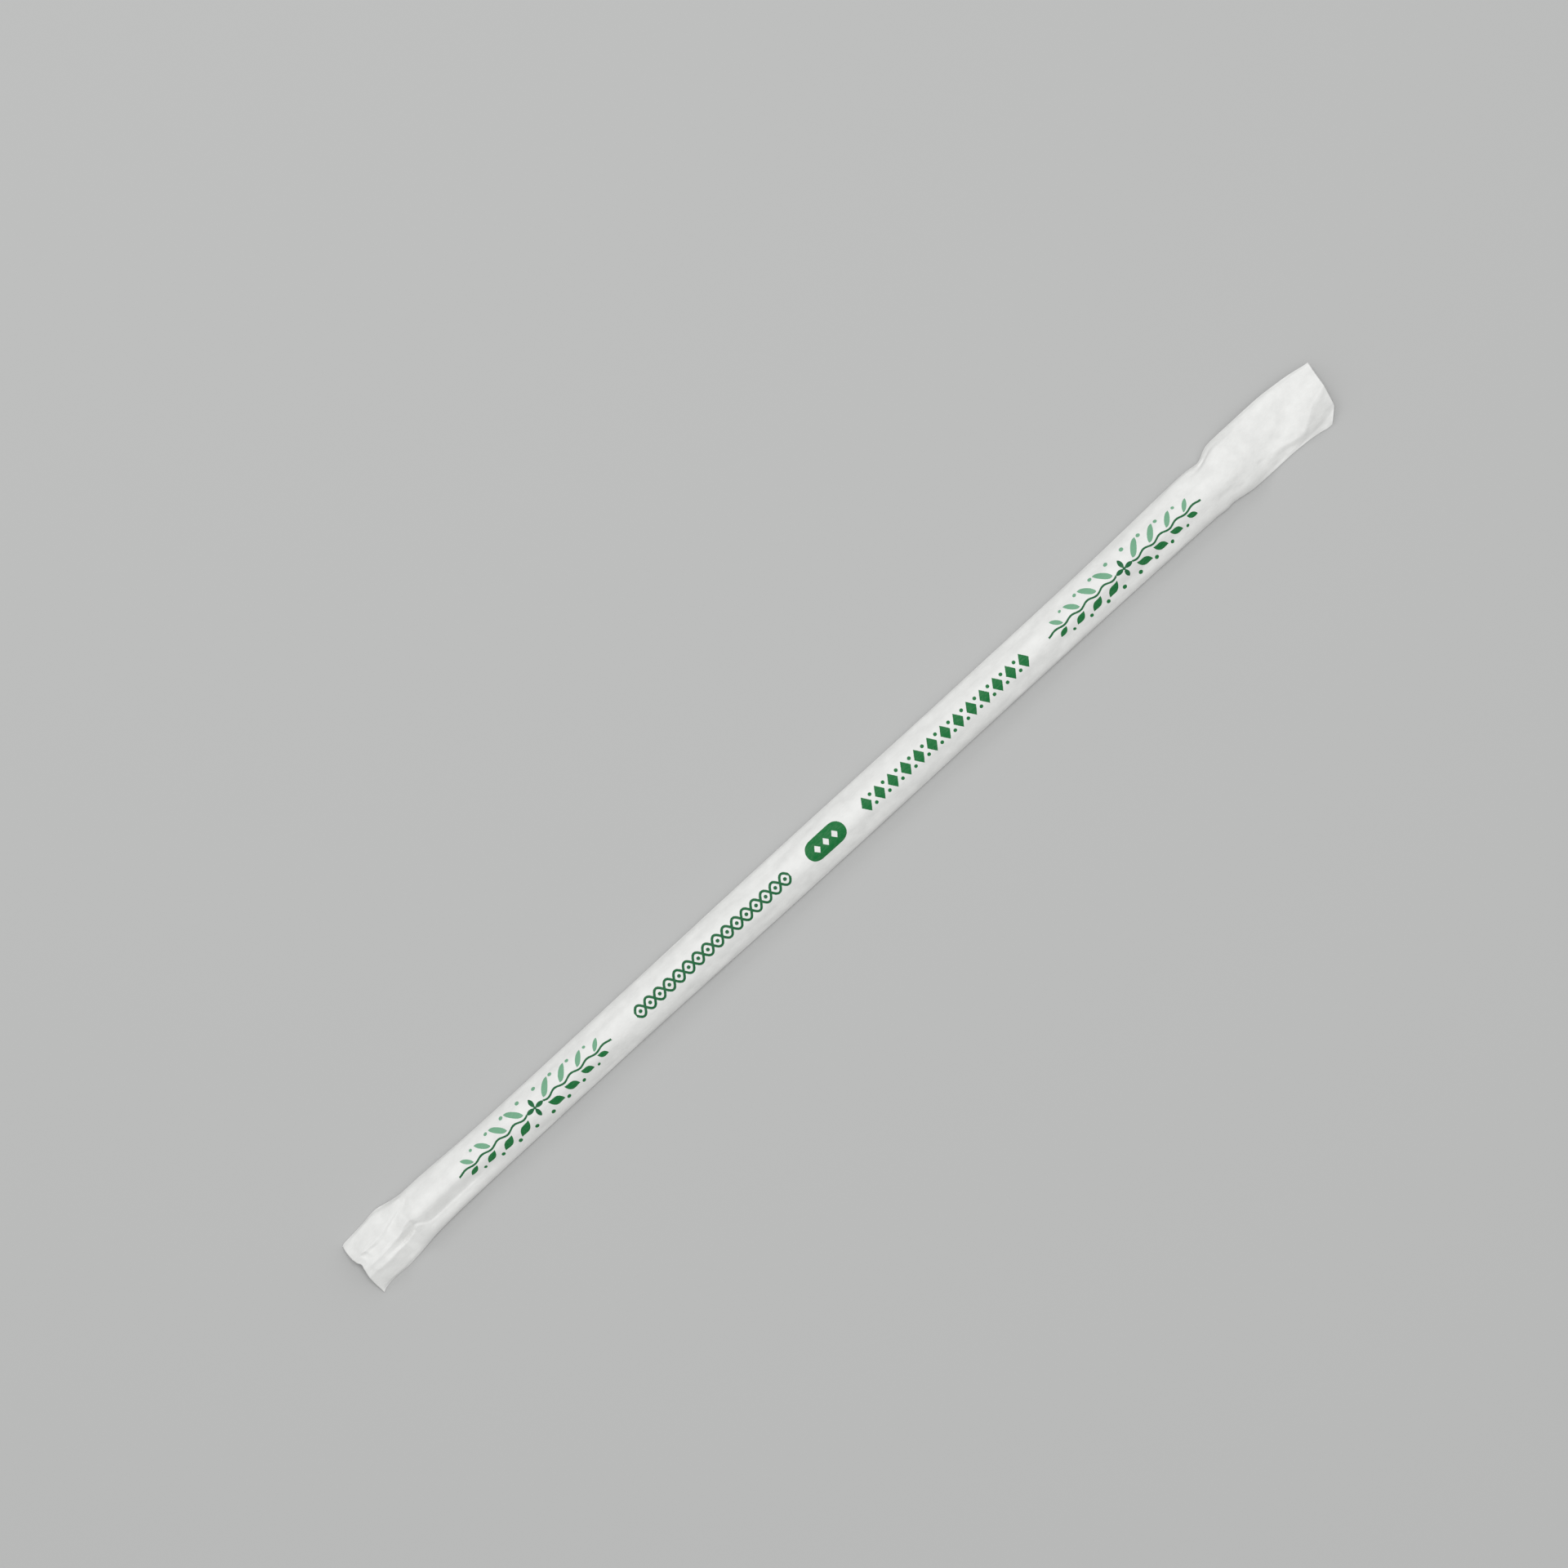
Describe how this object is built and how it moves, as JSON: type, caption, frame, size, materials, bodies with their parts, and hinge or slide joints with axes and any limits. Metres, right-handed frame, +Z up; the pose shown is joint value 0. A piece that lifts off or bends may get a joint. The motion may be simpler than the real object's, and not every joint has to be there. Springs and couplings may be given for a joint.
{
  "type": "wrapped drinking straw",
  "caption": "Drinking straw sealed in a white paper sleeve with creased flat ends, lying on a table.",
  "frame": {"origin": "under the middle of the sleeve's outline, on the surface that it lies on", "axes": "+X along the straw towards the longer flat end, +Y to the left seen along +X, +Z up"},
  "size_m": [0.2524, 0.0136, 0.0054],
  "materials": {
    "paper": "uncoated"
  },
  "bodies": {
    "root": {"wrapped_straw": "paper"}
  },
  "joints": []
}
